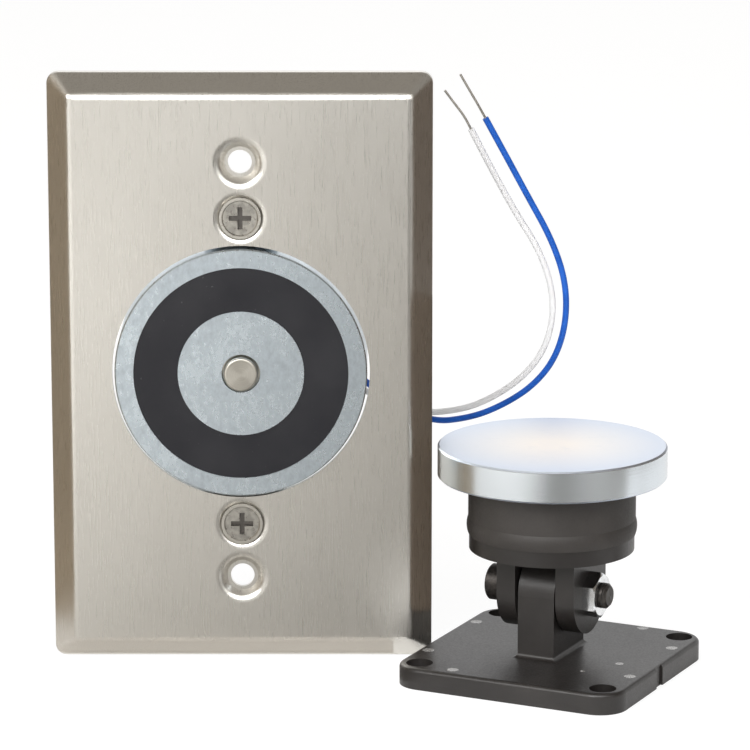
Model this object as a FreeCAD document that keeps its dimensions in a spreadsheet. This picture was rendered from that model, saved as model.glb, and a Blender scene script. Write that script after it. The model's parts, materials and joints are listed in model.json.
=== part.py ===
"""Electromagnetic door holder: a flush wall magnet and the swivelling armature that goes on the door.

Frame: X to the right, Y into the wall, Z up. The origin lies on the magnet's axis, midway between
the two wall screws, in the plane where their heads seat. The armature unit stands in front of the
face plate's lower right corner, with its base level with the plate's lower edge.
Lengths are in millimetres, angles in degrees.
"""

import FreeCAD, Part
import math
import os
import Sketcher
from types import SimpleNamespace

SIZES = [
    ("plate_width", 75.2, "face plate across its rim"),
    ("plate_height", 117.9, "face plate along its rim"),
    ("plate_depth", 5.5, "from the wall to the plate's face"),
    ("plate_gauge", 1.0, "sheet thickness of the plate"),
    ("plate_bevel", 4.1, "width of the sloping edge all round"),
    ("rim_corner", 2.2, "corner radius of the plate's rim"),
    ("face_corner", 0.2, "corner radius of the plate's flat face, inside its bend"),
    ("plate_bend", 2.0, "outer radius of the bend round the plate's face"),
    ("rim_bend", 0.5, "outer radius of the bend to the plate's rim"),
    ("wall_screw_spacing", 83.34, "between the two wall screws"),
    ("bracket_screw_margin", 5.95, "from the magnet's side to the middle of each bracket screw"),
    ("screw_hole_radius", 2.35, "all four screw holes in the plate"),
    ("seat_depth", 1.5, "from the plate's face down to the screw seats"),
    ("seat_lip_radius", 5.35, "where a pressed screw seat meets the flat face"),
    ("seat_lip_round", 2.0, "rounding of the seat's lip"),
    ("opening_gap", 0.5, "round the magnet, in the plate's opening"),
    ("magnet_proud", 1.2, "pole faces in front of the plate's face"),
    ("magnet_radius", 24.8, "outside of the magnet's steel cup"),
    ("magnet_length", 36.0, "pole face to the back of the cup"),
    ("cup_wall", 3.7, "wall of the cup, whose front is the outer pole ring"),
    ("cup_floor", 4.0, "thickness of the cup's back wall"),
    ("cup_edge", 0.25, "chamfer round the cup's front edge"),
    ("coil_room", 8.7, "between the inner pole and the cup's wall"),
    ("spigot_radius", 7.0, "threaded rear end of the core"),
    ("spigot_length", 13.0, "rear end of the core, behind the inside of the cup's back"),
    ("button_hole_radius", 3.8, "front hole of the core"),
    ("button_lip", 2.5, "length of the core's front hole"),
    ("plunger_bore_radius", 4.75, "hole behind the front hole, for collar and spring"),
    ("button_gap", 0.4, "round the release button in its hole"),
    ("button_proud", 1.3, "button in front of the pole face"),
    ("button_round", 0.5, "rounding of the button's front edge"),
    ("collar_length", 3.0, "guide collar of the plunger"),
    ("stem_radius", 1.6, "rear stem of the plunger"),
    ("plug_length", 6.0, "retaining plug behind the spring"),
    ("stem_proud", 3.0, "plunger's stem behind its plug"),
    ("running_gap", 0.05, "radial clearance of every sliding or turning fit"),
    ("still_gap", 0.05, "clearance between pieces that are fixed together"),
    ("spring_wire_radius", 0.35, "plunger spring wire"),
    ("spring_coil_radius", 3.3, "plunger spring, middle of the wire"),
    ("spring_turns", 9.0, "turns of the plunger spring"),
    ("potting_recess", 0.25, "resin below the pole faces"),
    ("potting_depth", 3.6, "thickness of the resin ring"),
    ("bobbin_length", 26.0, "coil bobbin over its flanges"),
    ("bobbin_wall", 1.0, "bobbin tube and flanges"),
    ("coil_margin", 0.9, "winding below the rim of the bobbin's flanges"),
    ("bracket_width", 16.0, "mounting strap"),
    ("bracket_gauge", 2.0, "mounting strap"),
    ("bracket_side_gap", 0.4, "strap beside the cup"),
    ("bracket_bend", 1.2, "inner bend radius of the strap"),
    ("bracket_ear", 10.7, "ears of the strap, out from its legs' inner faces"),
    ("bracket_screw_radius", 2.0, "shank of the two plate screws"),
    ("bracket_screw_length", 9.0, "shank of the two plate screws, behind the plate's face"),
    ("screw_head_radius", 4.1, "head of the two plate screws"),
    ("screw_head_proud", 0.2, "their heads in front of the plate's face"),
    ("screw_head_edge", 0.6, "straight edge of their heads"),
    ("screw_rim", 0.55, "flat rim round the sunk middle of their heads"),
    ("screw_dish", 0.2, "depth of that sunk middle"),
    ("cross_width", 1.0, "arms of the cross recess"),
    ("cross_length", 4.4, "cross recess over its arms"),
    ("cross_depth", 1.3, "cross recess"),
    ("core_nut_flats", 21.0, "nut on the core, across flats"),
    ("core_nut_height", 5.0, "nut on the core"),
    ("washer_radius", 11.0, "split lock washer"),
    ("washer_gauge", 1.2, "split lock washer"),
    ("washer_split", 1.5, "gap in the lock washer"),
    ("grommet_wall", 1.25, "rubber outside the leads in the grommet's neck"),
    ("grommet_margin", 0.25, "round the grommet's flanges, in the width of the coil room"),
    ("grommet_flange", 1.5, "thickness of the grommet's flanges"),
    ("lead_radius", 0.65, "insulated lead"),
    ("conductor_radius", 0.25, "stripped end of a lead"),
    ("lead_spacing", 2.6, "between the two leads in the grommet"),
    ("unit_gap", 1.9, "between the base and the plate's right rim"),
    ("unit_front", 8.0, "armature unit's middle, in front of the origin"),
    ("unit_turn", 26.0, "armature unit, turned clockwise seen from above"),
    ("base_side", 47.6, "square base"),
    ("base_thickness", 4.2, "square base"),
    ("base_corner", 5.6, "corner radius of the base"),
    ("base_edge", 0.85, "rounding of the base's top edge"),
    ("gate_width", 3.0, "moulding gate in the base's right edge"),
    ("gate_depth", 0.45, "how far that gate goes in"),
    ("gate_front", 1.2, "that gate, in front of the edge's middle"),
    ("door_hole_inset", 4.35, "the base's corner holes, in from its edges"),
    ("door_hole_radius", 2.65, "the base's corner holes"),
    ("post_width", 7.7, "post, along the pivot"),
    ("post_depth", 14.8, "post, across the pivot"),
    ("post_foot", 0.9, "fillet where the post meets the base"),
    ("pivot_height", 12.5, "pivot above the base's top"),
    ("pivot_radius", 2.5, "pivot bolt"),
    ("ear_gap", 0.45, "between the post and each ear"),
    ("ear_thickness", 3.95, "clevis ears"),
    ("ear_radius", 7.9, "rounded end of the ears, about the pivot"),
    ("flange_room", 1.2, "between the post's round end and the clevis flange"),
    ("flange_thickness", 3.1, "clevis flange"),
    ("flange_inset", 0.2, "clevis flange inside the side of the collar"),
    ("collar_radius", 16.45, "rubber collar"),
    ("collar_height", 11.3, "rubber collar"),
    ("bead_proud", 0.3, "round bead at the collar's foot, out from its side"),
    ("bead_height", 3.2, "round bead at the collar's foot"),
    ("sleeve_radius", 4.5, "steel sleeve in the collar"),
    ("disc_radius", 22.5, "armature disc"),
    ("disc_thickness", 6.3, "armature disc"),
    ("disc_edge", 0.35, "chamfer round the disc"),
    ("disc_screw_radius", 2.5, "screw between clevis and disc"),
    ("disc_screw_head", 4.4, "its countersunk head"),
    ("disc_screw_reach", 4.5, "its thread in the disc"),
    ("disc_screw_flats", 3.0, "its hexagon socket"),
    ("disc_screw_socket", 1.25, "depth of that socket"),
    ("bolt_head_radius", 3.6, "head of the pivot bolt"),
    ("bolt_head_length", 4.7, "head of the pivot bolt"),
    ("bolt_head_edge", 0.3, "chamfer of that head"),
    ("bolt_socket_flats", 4.0, "hexagon socket of the pivot bolt"),
    ("bolt_socket_depth", 2.5, "hexagon socket of the pivot bolt"),
    ("bolt_end", 1.6, "pivot bolt beyond its nut"),
    ("bolt_chamfer", 0.6, "end of the pivot bolt"),
    ("nut_flats", 8.0, "pivot nut across flats"),
    ("nut_height", 2.7, "pivot nut"),
]

# Routes of the leads behind and beside the plate, after their start in the grommet: x, y, z.
BLUE_ROUTE = [
    (18.05, 42.0, 0.0),
    (19.6, 47.6, -8.0),
    (26.6, 46.9, -15.6),
    (37.4, 41.8, -20.6),
    (46.2, 38.9, -18.9),
    (52.8, 37.8, -15.9),
    (58.8, 36.9, -11.7),
    (63.2, 36.0, -5.9),
    (65.4, 35.0, 1.9),
    (65.2, 33.8, 10.8),
    (62.2, 32.6, 19.8),
    (57.0, 31.6, 29.3),
    (52.6, 30.8, 37.6),
    (48.5, 30.0, 45.2),
]
BLUE_END_ROUTE = [(48.5, 30.0, 45.2), (47.1, 29.7, 47.8), (45.0, 29.5, 51.4), (43.4, 29.4, 54.2)]
WHITE_ROUTE = [
    (15.45, 41.5, 0.0),
    (16.6, 47.4, -8.6),
    (23.6, 45.4, -14.8),
    (35.0, 40.2, -18.4),
    (44.6, 37.2, -16.8),
    (51.2, 36.1, -13.6),
    (56.9, 35.2, -9.2),
    (60.9, 34.4, -3.7),
    (62.7, 33.5, 3.3),
    (62.2, 32.4, 10.6),
    (59.3, 31.5, 18.5),
    (54.8, 30.7, 25.6),
    (49.9, 30.2, 34.6),
    (45.6, 30.0, 43.0),
]
WHITE_END_ROUTE = [(45.6, 30.0, 43.0), (44.2, 29.9, 45.7), (41.9, 29.8, 48.7), (40.3, 29.6, 50.9)]

ARC_SHARE = 0.45  # an arc of a route uses this share of the shorter run beside it
MITRE = math.tan(math.radians(22.5))  # half of a 45 degree turn
COS45 = math.cos(math.radians(45))
NUT_SLOPE = math.tan(math.radians(30))  # chamfer of a nut's corners
CUT_PAST = 1.0  # how far a cut runs past the face that it starts from

doc = FreeCAD.newDocument("DoorHolder")
sheet = doc.addObject("Spreadsheet::Sheet", "Sizes")
Vector = FreeCAD.Vector


class Size:
    """A number together with the sheet expression that gives it."""

    def __init__(self, value, text=None):
        self.value = float(value)
        self.text = text or repr(float(value))

    def __add__(self, other):
        other = as_size(other)
        return Size(self.value + other.value, f"({self.text} + {other.text})")

    def __sub__(self, other):
        other = as_size(other)
        return Size(self.value - other.value, f"({self.text} - {other.text})")

    def __mul__(self, other):
        other = as_size(other)
        return Size(self.value * other.value, f"({self.text} * {other.text})")

    def __truediv__(self, other):
        other = as_size(other)
        return Size(self.value / other.value, f"({self.text} / {other.text})")

    def __neg__(self):
        return Size(-self.value, f"(0 - {self.text})")

    def __rmul__(self, other):
        return as_size(other) * self


def as_size(number):
    return number if isinstance(number, Size) else Size(number)


def fill_sheet():
    """Writes the driving sizes into the sheet and returns them by name."""
    named = SimpleNamespace()
    for row, (name, number, meaning) in enumerate(SIZES, start=1):
        sheet.set(f"A{row}", name)
        sheet.set(f"B{row}", str(number))
        sheet.set(f"C{row}", meaning)
        sheet.setAlias(f"B{row}", name)
        setattr(named, name, Size(number, f"Sizes.{name}"))
    doc.recompute()
    return named


def cosine(angle):
    return Size(math.cos(math.radians(angle.value)), f"cos({angle.text} * 1 deg)")


def sine(angle):
    return Size(math.sin(math.radians(angle.value)), f"sin({angle.text} * 1 deg)")


def beside_rim():
    """How far right of the plate's edge the turned unit's middle is, for its base to clear the rim."""
    rim_front_y = FACE_Y + S.plate_bevel
    reach = S.base_side / 2 + S.unit_gap
    return (reach - (rim_front_y - UNIT_Y) * sine(S.unit_turn)) / cosine(S.unit_turn)


S = fill_sheet()

# Planes and places that several pieces share.
FACE_Y = -S.seat_depth
RIM_Y = FACE_Y + S.plate_depth
POLE_Y = FACE_Y - S.magnet_proud
CUP_BACK_Y = POLE_Y + S.magnet_length
CUP_INSIDE_Y = CUP_BACK_Y - S.cup_floor
WEB_BACK_Y = CUP_BACK_Y + S.bracket_gauge
NUT_FRONT_Y = WEB_BACK_Y + S.washer_gauge
LIP_BACK_Y = POLE_Y + S.button_lip
SPRING_FRONT_Y = LIP_BACK_Y + S.still_gap + S.collar_length
RING_BORE = S.magnet_radius - S.cup_wall
CORE_RADIUS = RING_BORE - S.coil_room
BUTTON_RADIUS = S.button_hole_radius - S.button_gap
GROMMET_X = CORE_RADIUS + S.coil_room / 2
WALL_SCREW_Z = S.wall_screw_spacing / 2
BRACKET_SCREW_Z = S.magnet_radius + S.bracket_screw_margin
PLUG_FRONT_Y = CUP_INSIDE_Y - S.plug_length
PIVOT_Z = S.base_thickness + S.pivot_height
FLANGE_Z = PIVOT_Z + S.post_depth / 2 + S.flange_room
COLLAR_Z = FLANGE_Z + S.flange_thickness
DISC_Z = COLLAR_Z + S.collar_height
EAR_INNER_X = S.post_width / 2 + S.ear_gap
EAR_OUTER_X = EAR_INNER_X + S.ear_thickness
UNIT_Y = -S.unit_front
UNIT_X = S.plate_width / 2 + beside_rim()
UNIT_Z = -S.plate_height / 2


def bind(thing, prop, size):
    """Ties a property to its size in the sheet."""
    size = as_size(size)
    thing.setExpression(prop, size.text)


def new_body(name):
    body = doc.addObject("PartDesign::Body", name)
    body.Label = name
    return body


def attach(thing, body, plane, at=0.0):
    """Lays a sketch or primitive on one of the body's own planes, at a distance along its normal."""
    origin_plane = next(f for f in body.Origin.OriginFeatures if f.Role == plane)
    thing.AttachmentSupport = [(origin_plane, "")]
    thing.MapMode = "FlatFace"
    bind(thing, "AttachmentOffset.Base.z", at)


def rounded(points):
    """Turns (x, y, "round", r) corners between level and upright sides into two points and an arc."""
    path = []
    for i, point in enumerate(points):
        if len(point) < 4 or point[2] != "round":
            path.append(point)
            continue
        x, y, _, radius = point
        before, after = points[i - 1], points[(i + 1) % len(points)]
        into = side_direction(before, point)
        out = side_direction(point, after)
        turn = into[0] * out[1] - into[1] * out[0]
        path.append((x - into[0] * radius, y - into[1] * radius, "arc", turn * radius))
        path.append((x + out[0] * radius, y + out[1] * radius))
    return path


def side_direction(start, end):
    """Unit step from one corner to the next, along x or along y."""
    dx = as_size(end[0]).value - as_size(start[0]).value
    dy = as_size(end[1]).value - as_size(start[1]).value
    if abs(dx) > abs(dy):
        return (math.copysign(1.0, dx), 0.0)
    return (0.0, math.copysign(1.0, dy))


def arc_centre(start, end, radius):
    """Centre of the short arc between two points, on the left of the way when radius is positive."""
    half = (end - start) * 0.5
    left = Vector(-half.y, half.x, 0)
    left.normalize()
    height = math.sqrt(max(radius**2 - half.Length**2, 0.0))
    return start + half + left * math.copysign(height, radius)


def add_side(sketch, start, end, radius):
    """Adds a straight or round side and says which of its ends come first and last."""
    if radius is None:
        sketch.addGeometry(Part.LineSegment(start, end), False)
        return 1, 2
    centre = arc_centre(start, end, radius)
    circle = Part.Circle(centre, Vector(0, 0, 1), abs(radius))
    angle = {end_name: math.atan2(p.y - centre.y, p.x - centre.x) for end_name, p in
             (("start", start), ("end", end))}
    if radius > 0:
        sketch.addGeometry(Part.ArcOfCircle(circle, angle["start"], angle["end"]), False)
        return 1, 2
    sketch.addGeometry(Part.ArcOfCircle(circle, angle["end"], angle["start"]), False)
    return 2, 1


def outline(body, name, plane, points, at=0.0):
    """A closed sketch whose corners and arc radii follow the sheet.

    A point is (x, y), or (x, y, "arc", r) when an arc runs from it to the next point,
    or (x, y, "round", r) for a rounded corner.
    """
    path = rounded(points)
    sketch = body.newObject("Sketcher::SketchObject", name)
    attach(sketch, body, plane, at)
    places = [Vector(as_size(p[0]).value, as_size(p[1]).value, 0) for p in path]
    ends = []
    for i, point in enumerate(path):
        radius = as_size(point[3]).value if len(point) == 4 else None
        ends.append(add_side(sketch, places[i], places[(i + 1) % len(path)], radius))
    for i, point in enumerate(path):
        following = (i + 1) % len(path)
        join = Sketcher.Constraint("Coincident", i, ends[i][1], following, ends[following][0])
        sketch.addConstraint(join)
        if len(point) == 4:
            radius = abs_size(point[3])
            index = sketch.addConstraint(Sketcher.Constraint("Radius", i, radius.value))
            sketch.setExpression(f"Constraints[{index}]", radius.text)
    for i, point in enumerate(path):
        for kind, number in (("DistanceX", point[0]), ("DistanceY", point[1])):
            number = as_size(number)
            rule = Sketcher.Constraint(kind, -1, 1, i, ends[i][0], number.value)
            index = sketch.addConstraint(rule)
            sketch.setExpression(f"Constraints[{index}]", number.text)
    return sketch


def abs_size(number):
    number = as_size(number)
    return -number if number.value < 0 else number


def rectangle(width, height, corner):
    """Corners of a rounded rectangle about the sketch's origin."""
    x, y = width / 2, height / 2
    signs = ((-1, -1), (1, -1), (1, 1), (-1, 1))
    return [(x * sx, y * sy, "round", corner) for sx, sy in signs]


def settle(body, made, cutting):
    """Recomputes, and stops if a cut removed nothing or an addition added nothing."""
    before = made.BaseFeature.Shape.Volume if made.BaseFeature else 0.0
    doc.recompute()
    change = made.Shape.Volume - before
    if abs(change) < 1e-6 or (change < 0) != cutting:
        raise RuntimeError(f"{body.Label}: {made.Name} changed the volume by {change:.4f}")
    body.Tip = made
    return made


def turned(body, name, plane, points, at=0.0, cutting=False):
    """A profile of (radius, height) points turned about the sketch's upright axis."""
    sketch = outline(body, name + "_outline", plane, points, at)
    made = body.newObject("PartDesign::Groove" if cutting else "PartDesign::Revolution", name)
    made.Profile = sketch
    made.ReferenceAxis = (sketch, ["V_Axis"])
    made.Angle = 360
    return settle(body, made, cutting)


def extruded(body, name, plane, points, length, at=0.0, cutting=False, sides="One side",
             backwards=False):
    """A profile padded, or cut, along its plane's normal."""
    sketch = outline(body, name + "_outline", plane, points, at)
    made = body.newObject("PartDesign::Pocket" if cutting else "PartDesign::Pad", name)
    made.Profile = sketch
    made.SideType = sides
    made.Reversed = backwards
    bind(made, "Length", length)
    return settle(body, made, cutting)


def lofted(body, name, plane, lower, upper, cutting=False):
    """A straight-sided form between two outlines, each given as (points, distance along normal)."""
    first = outline(body, name + "_lower", plane, *lower)
    second = outline(body, name + "_upper", plane, *upper)
    made = body.newObject("PartDesign::SubtractiveLoft" if cutting else "PartDesign::AdditiveLoft",
                          name)
    made.Profile = first
    made.Sections = [(second, [""])]
    made.Ruled = True
    return settle(body, made, cutting)


def drilled(body, name, plane, radius, depth, x=0.0, y=0.0, at=0.0):
    """A round hole along the plane's normal, from its distance at over its depth."""
    made = body.newObject("PartDesign::SubtractiveCylinder", name)
    attach(made, body, plane, at)
    bind(made, "AttachmentOffset.Base.x", x)
    bind(made, "AttachmentOffset.Base.y", y)
    bind(made, "Radius", radius)
    bind(made, "Height", depth)
    return settle(body, made, True)


def hexagon(flats, upright):
    """Corners of a hexagon about the sketch's origin, with two corners on the upright axis or not."""
    reach = flats / math.sqrt(3)
    first = 30.0 if upright else 0.0
    corners = []
    for i in range(6):
        angle = math.radians(first + 60 * i)
        corners.append((reach * math.cos(angle), reach * math.sin(angle)))
    return corners


def softened(body, name, kind, prop, size, wanted):
    """Rounds or chamfers the edges of the body's tip that wanted() picks."""
    tip = body.Tip
    edges = [f"Edge{i}" for i, edge in enumerate(tip.Shape.Edges, start=1) if wanted(edge)]
    if not edges:
        raise RuntimeError(f"{body.Label}: {name} found no edge")
    made = body.newObject("PartDesign::" + kind, name)
    made.Base = (tip, edges)
    bind(made, prop, size)
    doc.recompute()
    body.Tip = made
    return made


def is_circle(edge, radius):
    """True for a full or part circle of this radius."""
    return isinstance(edge.Curve, Part.Circle) and abs(edge.Curve.Radius - as_size(radius).value) < 1e-4


def lies_at(edge, axis, place):
    """True when the whole edge lies in the plane across this axis."""
    box = edge.BoundBox
    low, high = getattr(box, axis + "Min"), getattr(box, axis + "Max")
    place = as_size(place).value
    return abs(low - place) < 1e-4 and abs(high - place) < 1e-4


def wall_plate():
    """Pressed stainless cover with sloping edges, four pressed screw seats and a round opening."""
    body = new_body("wall_plate")
    slope_y = FACE_Y + S.plate_bevel
    face_width = S.plate_width - 2 * S.plate_bevel
    face_height = S.plate_height - 2 * S.plate_bevel
    face_corner = S.face_corner + S.plate_bend * MITRE
    rim = rectangle(S.plate_width, S.plate_height, S.rim_corner)
    face = rectangle(face_width, face_height, face_corner)
    extruded(body, "rim", "XZ_Plane", rim, RIM_Y - slope_y, at=-RIM_Y)
    lofted(body, "slope", "XZ_Plane", (rim, -slope_y), (face, -FACE_Y))
    softened(body, "face_bend", "Fillet", "Radius", S.plate_bend,
             lambda edge: lies_at(edge, "Y", FACE_Y))
    softened(body, "outer_bend", "Fillet", "Radius", S.rim_bend,
             lambda edge: lies_at(edge, "Y", slope_y))

    inset = 2 * S.plate_gauge
    shift = S.plate_gauge * MITRE
    inner_slope_y = slope_y + shift
    inner_rim = rectangle(S.plate_width - inset, S.plate_height - inset, S.rim_corner - S.plate_gauge)
    inner_face = rectangle(face_width - 2 * shift, face_height - 2 * shift, face_corner - shift)
    extruded(body, "hollow", "XZ_Plane", inner_rim, RIM_Y - inner_slope_y + CUT_PAST,
             at=-RIM_Y - CUT_PAST, cutting=True, backwards=True)
    lofted(body, "hollow_slope", "XZ_Plane", (inner_rim, -inner_slope_y),
           (inner_face, -FACE_Y - S.plate_gauge), cutting=True)

    for name, height in screw_places():
        seat_backing(body, name, height)
    for name, height in screw_places():
        pressed_seat(body, name, height)
    opening = S.magnet_radius + S.opening_gap
    drilled(body, "opening", "XZ_Plane", opening, S.plate_depth + 2 * CUT_PAST, at=-RIM_Y - CUT_PAST)
    return body


def screw_places():
    """Names and heights of the four screw seats."""
    places = []
    for kind, height in (("wall", WALL_SCREW_Z), ("bracket", BRACKET_SCREW_Z)):
        places.append((f"{kind}_seat_top", height))
        places.append((f"{kind}_seat_bottom", -height))
    return places


def seat_slope():
    """Where a seat's sloping side begins below its rounded lip, and the radius where it ends."""
    top_radius = S.seat_lip_radius - S.seat_lip_round * COS45
    top_y = FACE_Y + S.seat_lip_round * (1 - COS45)
    return top_radius, top_y, top_radius + top_y


def seat_backing(body, name, height):
    """The metal that a pressed seat pushes out behind the sheet."""
    foot = seat_slope()[2] + S.plate_gauge * MITRE
    back_y = FACE_Y + S.plate_gauge
    inside_y = FACE_Y + S.plate_gauge / 2
    turned(body, name + "_backing", "XY_Plane", [
        (0.0, inside_y), (foot + S.seat_depth, inside_y), (foot + S.seat_depth, back_y),
        (foot, S.plate_gauge), (0.0, S.plate_gauge)], at=height)


def pressed_seat(body, name, height):
    """The dish of a pressed seat, with its screw hole."""
    lip = S.seat_lip_radius
    top_radius, top_y, floor_radius = seat_slope()
    turned(body, name, "XY_Plane", [
        (0.0, FACE_Y - CUT_PAST), (lip, FACE_Y - CUT_PAST), (lip, FACE_Y, "arc", -S.seat_lip_round),
        (top_radius, top_y), (floor_radius, 0.0), (S.screw_hole_radius, 0.0),
        (S.screw_hole_radius, S.plate_gauge + CUT_PAST), (0.0, S.plate_gauge + CUT_PAST)],
        at=height, cutting=True)


def magnet_housing():
    """Turned steel cup whose front edge is the outer pole ring."""
    body = new_body("magnet_housing")
    edge = S.cup_edge
    back_edge = S.bracket_bend - S.bracket_side_gap + S.still_gap
    hole = S.spigot_radius + S.still_gap
    turned(body, "cup", "XY_Plane", [
        (RING_BORE, POLE_Y), (S.magnet_radius - edge, POLE_Y),
        (S.magnet_radius, POLE_Y + edge), (S.magnet_radius, CUP_BACK_Y - back_edge),
        (S.magnet_radius - back_edge, CUP_BACK_Y), (hole, CUP_BACK_Y), (hole, CUP_INSIDE_Y),
        (RING_BORE, CUP_INSIDE_Y)])
    drilled(body, "lead_hole", "XZ_Plane", grommet_neck() + S.still_gap,
            S.cup_floor + 2 * CUT_PAST, x=GROMMET_X, at=-CUP_BACK_Y - CUT_PAST)
    return body


def pole_core():
    """Inner pole with the plunger's stepped bore and a threaded rear spigot."""
    body = new_body("pole_core")
    end_y = CUP_INSIDE_Y + S.spigot_length
    turned(body, "core", "XY_Plane", [
        (S.button_hole_radius, POLE_Y), (CORE_RADIUS, POLE_Y), (CORE_RADIUS, CUP_INSIDE_Y),
        (S.spigot_radius, CUP_INSIDE_Y), (S.spigot_radius, end_y), (S.plunger_bore_radius, end_y),
        (S.plunger_bore_radius, LIP_BACK_Y), (S.button_hole_radius, LIP_BACK_Y)])
    return body


def coil_bobbin():
    """Moulded spool round the core, held between resin and cup."""
    body = new_body("coil_bobbin")
    tube_in = CORE_RADIUS + S.still_gap
    tube_out = tube_in + S.bobbin_wall
    flange = RING_BORE - S.still_gap
    front = bobbin_front_y()
    back = front + S.bobbin_length
    turned(body, "spool", "XY_Plane", [
        (tube_in, front), (flange, front), (flange, front + S.bobbin_wall),
        (tube_out, front + S.bobbin_wall), (tube_out, back - S.bobbin_wall),
        (flange, back - S.bobbin_wall), (flange, back), (tube_in, back)])
    return body


def bobbin_front_y():
    return POLE_Y + S.potting_recess + S.potting_depth


def coil_winding():
    """The wound wire, as one solid."""
    body = new_body("coil_winding")
    inside = CORE_RADIUS + 2 * S.still_gap + S.bobbin_wall
    outside = RING_BORE - S.coil_margin
    front = bobbin_front_y() + S.bobbin_wall + S.still_gap
    back = bobbin_front_y() + S.bobbin_length - S.bobbin_wall - S.still_gap
    turned(body, "winding", "XY_Plane",
           [(inside, front), (outside, front), (outside, back), (inside, back)])
    return body


def face_potting():
    """Black resin ring between the two poles, a little below their faces."""
    body = new_body("face_potting")
    inside = CORE_RADIUS
    outside = RING_BORE
    front = POLE_Y + S.potting_recess
    turned(body, "resin", "XY_Plane", [
        (inside, front), (outside, front), (outside, front + S.potting_depth),
        (inside, front + S.potting_depth)])
    return body


def release_plunger():
    """Sprung button with its guide collar and rear stem."""
    body = new_body("release_plunger")
    front = POLE_Y - S.button_proud
    collar_front = LIP_BACK_Y + S.still_gap
    collar = S.plunger_bore_radius - S.running_gap
    stem_end = CUP_INSIDE_Y + S.stem_proud
    turned(body, "plunger", "XY_Plane", [
        (0.0, front), (BUTTON_RADIUS, front), (BUTTON_RADIUS, collar_front),
        (collar, collar_front), (collar, SPRING_FRONT_Y), (S.stem_radius, SPRING_FRONT_Y),
        (S.stem_radius, stem_end), (0.0, stem_end)])
    softened(body, "button_edge", "Fillet", "Radius", S.button_round,
             lambda edge: is_circle(edge, BUTTON_RADIUS) and lies_at(edge, "Y", front))
    return body


def plunger_spring():
    """Round wire spring between the plunger's collar and the plug."""
    wire = S.spring_wire_radius
    length = PLUG_FRONT_Y - SPRING_FRONT_Y - 2 * wire
    helix = doc.addObject("Part::Helix", "spring_line")
    bind(helix, "Radius", S.spring_coil_radius)
    bind(helix, "Height", length)
    bind(helix, "Pitch", length / S.spring_turns)
    section = doc.addObject("Part::Circle", "spring_section")
    bind(section, "Radius", wire)
    section.Placement = FreeCAD.Placement(Vector(), FreeCAD.Rotation(Vector(1, 0, 0), 90))
    bind(section, "Placement.Base.x", S.spring_coil_radius)
    spring = doc.addObject("Part::Sweep", "plunger_spring")
    spring.Sections = [section]
    spring.Spine = (helix, [])
    spring.Solid = True
    spring.Frenet = True
    spring.Placement = FreeCAD.Placement(Vector(), FreeCAD.Rotation(Vector(1, 0, 0), -90))
    bind(spring, "Placement.Base.y", SPRING_FRONT_Y + wire)
    return spring


def plunger_retainer():
    """Threaded plug that backs the spring and guides the stem."""
    body = new_body("plunger_retainer")
    hole = S.stem_radius + S.running_gap
    outside = S.plunger_bore_radius - S.still_gap
    turned(body, "plug", "XY_Plane", [
        (hole, PLUG_FRONT_Y), (outside, PLUG_FRONT_Y), (outside, CUP_INSIDE_Y), (hole, CUP_INSIDE_Y)])
    return body


def mounting_bracket():
    """Folded strap: two ears behind the plate, two legs and a web behind the cup."""
    body = new_body("mounting_bracket")
    gauge, bend = S.bracket_gauge, S.bracket_bend
    leg_in = S.magnet_radius + S.bracket_side_gap
    leg_out = leg_in + gauge
    ear_front = S.plate_gauge + S.still_gap
    ear_back = ear_front + gauge
    ear_end = leg_in + S.bracket_ear
    outer_bend = bend + gauge
    upper = [
        (ear_front, ear_end), (ear_back, ear_end), (ear_back, leg_out, "round", bend),
        (WEB_BACK_Y, leg_out, "round", outer_bend)]
    inner = [
        (CUP_BACK_Y, leg_in, "round", bend), (ear_front, leg_in, "round", outer_bend)]
    strap = upper + flipped(upper) + flipped(inner) + inner
    extruded(body, "strap", "YZ_Plane", strap, S.bracket_width, sides="Symmetric")
    for name, height in screw_places()[2:]:
        drilled(body, name, "XZ_Plane", S.bracket_screw_radius + S.still_gap,
                gauge + 2 * CUT_PAST, y=height, at=-ear_back - CUT_PAST)
    drilled(body, "spigot_hole", "XZ_Plane", S.spigot_radius + S.still_gap,
            gauge + 2 * CUT_PAST, at=-WEB_BACK_Y - CUT_PAST)
    return body


def flipped(points):
    """The same points below the axis, in the order that carries an outline on."""
    return [(p[0], -p[1], *p[2:]) for p in reversed(points)]


def bracket_screws():
    """Two countersunk cross-recess screws through the plate into the bracket."""
    body = new_body("bracket_screw")
    top = FACE_Y - S.screw_head_proud
    head, rim, shank = S.screw_head_radius, S.screw_rim, S.bracket_screw_radius
    edge_y = top + S.screw_head_edge
    dish_y = top + S.screw_dish
    seat = -S.still_gap
    height = BRACKET_SCREW_Z
    turned(body, "screw", "XY_Plane", [
        (0.0, dish_y), (head - rim - S.screw_dish, dish_y), (head - rim, top), (head, top),
        (head, edge_y), (head - (seat - edge_y), seat), (shank, seat),
        (shank, FACE_Y + S.bracket_screw_length), (0.0, FACE_Y + S.bracket_screw_length)], at=height)
    for name, across, along in (("cross_level", S.cross_length, S.cross_width),
                                ("cross_upright", S.cross_width, S.cross_length)):
        arm = body.newObject("PartDesign::SubtractiveBox", name)
        attach(arm, body, "XZ_Plane", -dish_y - S.cross_depth)
        bind(arm, "AttachmentOffset.Base.x", -across / 2)
        bind(arm, "AttachmentOffset.Base.y", height - along / 2)
        bind(arm, "Length", across)
        bind(arm, "Width", along)
        bind(arm, "Height", S.cross_depth + CUT_PAST)
        settle(body, arm, True)
    lower = doc.addObject("Part::Mirroring", "bracket_screw_lower")
    lower.Source = body
    lower.Normal = Vector(0, 0, 1)
    pair = doc.addObject("Part::Compound", "bracket_screws")
    pair.Links = [body, lower]
    return pair


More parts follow.
